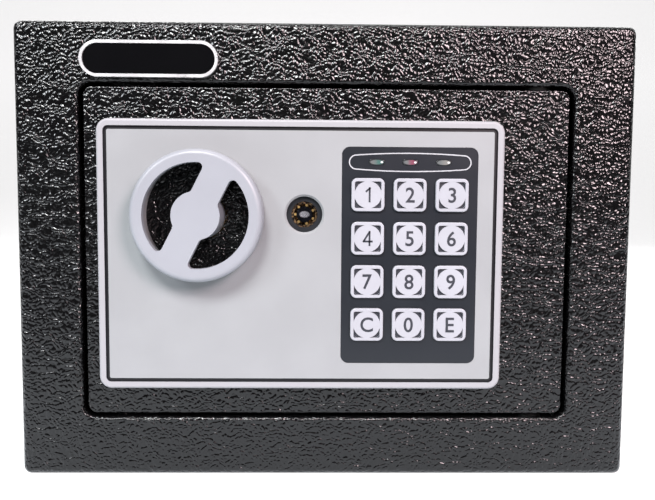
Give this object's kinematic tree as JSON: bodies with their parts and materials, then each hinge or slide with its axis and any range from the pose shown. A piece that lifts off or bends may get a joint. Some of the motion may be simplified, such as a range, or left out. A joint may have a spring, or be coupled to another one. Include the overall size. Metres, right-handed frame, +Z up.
{
  "type": "electronic safe",
  "caption": "Small black steel safe with a hinged door, grey fascia with knob and keypad, emergency lock, sliding bolts and battery compartment.",
  "frame": {"origin": "middle of the cabinet's underside", "axes": "+X to the right and +Y into the safe for someone facing the door, +Z up"},
  "size_m": [0.23, 0.184, 0.17],
  "materials": {
    "hammered_paint": "hammered gloss black",
    "mat_felt": "grey felt",
    "badge_field": "gloss",
    "badge_border": "satin",
    "plated_steel": "zinc plated",
    "bolt_chrome": "polished",
    "fascia_plastic": "satin light grey",
    "knob_plastic": "satin near white",
    "keypad_plastic": "satin dark grey",
    "key_plastic": "satin near white",
    "dark_rubber": "matte",
    "board": "solder resist",
    "green_lens": "clear tinted",
    "red_lens": "clear tinted",
    "yellow_lens": "clear tinted",
    "brass": "turned",
    "lock_chrome": "nickel plated",
    "coil_wire": "enamelled copper",
    "cover_plastic": "fine grained black",
    "contact_plate": "nickel plated",
    "cell_jacket": "plain printed jacket",
    "switch_plastic": "black",
    "button_red": "red",
    "wire_sheath": "vinyl"
  },
  "bodies": {
    "cabinet": {"cabinet_shell": "hammered_paint", "back_panel": "hammered_paint", "floor_mat": "mat_felt", "badge_plate": "badge_field", "badge_rim": "badge_border", "strike_plate": "hammered_paint", "door_stops": "hammered_paint", "hinge_lugs": "hammered_paint", "hinge_pins": "plated_steel"},
    "door": {"door_plate": "hammered_paint", "hinge_leaves": "hammered_paint", "front_panel": "fascia_plastic", "panel_screws": "plated_steel", "keypad_plate": "keypad_plastic", "keypad_membrane": "dark_rubber", "keypad_board": "board", "light_green": "green_lens", "light_red": "red_lens", "light_yellow": "yellow_lens", "spindle_bush": "brass", "bush_nut": "plated_steel", "bolt_guide": "plated_steel", "guide_posts": "plated_steel", "lock_cylinder": "lock_chrome", "lock_nut": "plated_steel", "solenoid_frame": "plated_steel", "solenoid_coil": "coil_wire", "cover_posts": "plated_steel", "mechanism_cover": "cover_plastic", "cover_screws": "plated_steel", "battery_box": "cover_plastic", "battery_contacts": "contact_plate", "batteries": "cell_jacket", "reset_switch": "switch_plastic", "wire_grommet": "dark_rubber", "wiring": "wire_sheath"},
    "knob": {"knob": "knob_plastic", "knob_grub_screw": "plated_steel", "knob_spindle": "plated_steel", "crank": "plated_steel"},
    "carriage": {"bolt_carriage": "plated_steel", "locking_bolts": "bolt_chrome"},
    "plunger": {"solenoid_plunger": "plated_steel", "plunger_spring": "plated_steel"},
    "lock_core": {"lock_core": "brass", "lock_cam": "plated_steel"},
    "battery_lid": {"battery_lid": "cover_plastic"},
    "reset_button": {"reset_button": "button_red"},
    "key_1": {"key_1": "key_plastic"},
    "key_2": {"key_2": "key_plastic"},
    "key_3": {"key_3": "key_plastic"},
    "key_4": {"key_4": "key_plastic"},
    "key_5": {"key_5": "key_plastic"},
    "key_6": {"key_6": "key_plastic"},
    "key_7": {"key_7": "key_plastic"},
    "key_8": {"key_8": "key_plastic"},
    "key_9": {"key_9": "key_plastic"},
    "key_c": {"key_c": "key_plastic"},
    "key_0": {"key_0": "key_plastic"},
    "key_e": {"key_e": "key_plastic"}
  },
  "joints": [
    {"name": "door_swing", "type": "hinge", "parent": "cabinet", "child": "door", "pos_m": [0.0808, -0.076, 0.0851], "axis": [0, 0, 1], "range_deg": [0, 100]},
    {"name": "knob_turn", "type": "hinge", "parent": "door", "child": "knob", "pos_m": [-0.0461, -0.09, 0.0991], "axis": [0, -1, 0], "range_deg": [0, 60]},
    {"name": "bolt_slide", "type": "slide", "parent": "door", "child": "carriage", "axis": [-1, 0, 0], "range_m": [0, 0.011]},
    {"name": "lock_turn", "type": "hinge", "parent": "door", "child": "lock_core", "pos_m": [-0.008, -0.09, 0.09975], "axis": [0, 1, 0], "range_deg": [0, 90]},
    {"name": "plunger_slide", "type": "slide", "parent": "door", "child": "plunger", "axis": [0, 0, -1], "range_m": [0, 0.0015], "stiffness_N_per_m": 150, "springref_m": -0.004, "deforming": ["plunger_spring"]},
    {"name": "lid_lift", "type": "slide", "parent": "door", "child": "battery_lid", "axis": [0, 1, 0], "range_m": [0, 0.015]},
    {"name": "reset_press", "type": "slide", "parent": "door", "child": "reset_button", "axis": [0, -1, 0], "range_m": [0, 0.0012], "stiffness_N_per_m": 400, "springref_m": -0.001},
    {"name": "press_1", "type": "slide", "parent": "door", "child": "key_1", "axis": [0, 1, 0], "range_m": [0, 0.0007], "stiffness_N_per_m": 500, "springref_m": -0.001},
    {"name": "press_2", "type": "slide", "parent": "door", "child": "key_2", "axis": [0, 1, 0], "range_m": [0, 0.0007], "stiffness_N_per_m": 500, "springref_m": -0.001},
    {"name": "press_3", "type": "slide", "parent": "door", "child": "key_3", "axis": [0, 1, 0], "range_m": [0, 0.0007], "stiffness_N_per_m": 500, "springref_m": -0.001},
    {"name": "press_4", "type": "slide", "parent": "door", "child": "key_4", "axis": [0, 1, 0], "range_m": [0, 0.0007], "stiffness_N_per_m": 500, "springref_m": -0.001},
    {"name": "press_5", "type": "slide", "parent": "door", "child": "key_5", "axis": [0, 1, 0], "range_m": [0, 0.0007], "stiffness_N_per_m": 500, "springref_m": -0.001},
    {"name": "press_6", "type": "slide", "parent": "door", "child": "key_6", "axis": [0, 1, 0], "range_m": [0, 0.0007], "stiffness_N_per_m": 500, "springref_m": -0.001},
    {"name": "press_7", "type": "slide", "parent": "door", "child": "key_7", "axis": [0, 1, 0], "range_m": [0, 0.0007], "stiffness_N_per_m": 500, "springref_m": -0.001},
    {"name": "press_8", "type": "slide", "parent": "door", "child": "key_8", "axis": [0, 1, 0], "range_m": [0, 0.0007], "stiffness_N_per_m": 500, "springref_m": -0.001},
    {"name": "press_9", "type": "slide", "parent": "door", "child": "key_9", "axis": [0, 1, 0], "range_m": [0, 0.0007], "stiffness_N_per_m": 500, "springref_m": -0.001},
    {"name": "press_c", "type": "slide", "parent": "door", "child": "key_c", "axis": [0, 1, 0], "range_m": [0, 0.0007], "stiffness_N_per_m": 500, "springref_m": -0.001},
    {"name": "press_0", "type": "slide", "parent": "door", "child": "key_0", "axis": [0, 1, 0], "range_m": [0, 0.0007], "stiffness_N_per_m": 500, "springref_m": -0.001},
    {"name": "press_e", "type": "slide", "parent": "door", "child": "key_e", "axis": [0, 1, 0], "range_m": [0, 0.0007], "stiffness_N_per_m": 500, "springref_m": -0.001}
  ],
  "couplings": [
    {"joint": "knob_turn", "follows": "bolt_slide", "rad_per_m": 95.199}
  ]
}
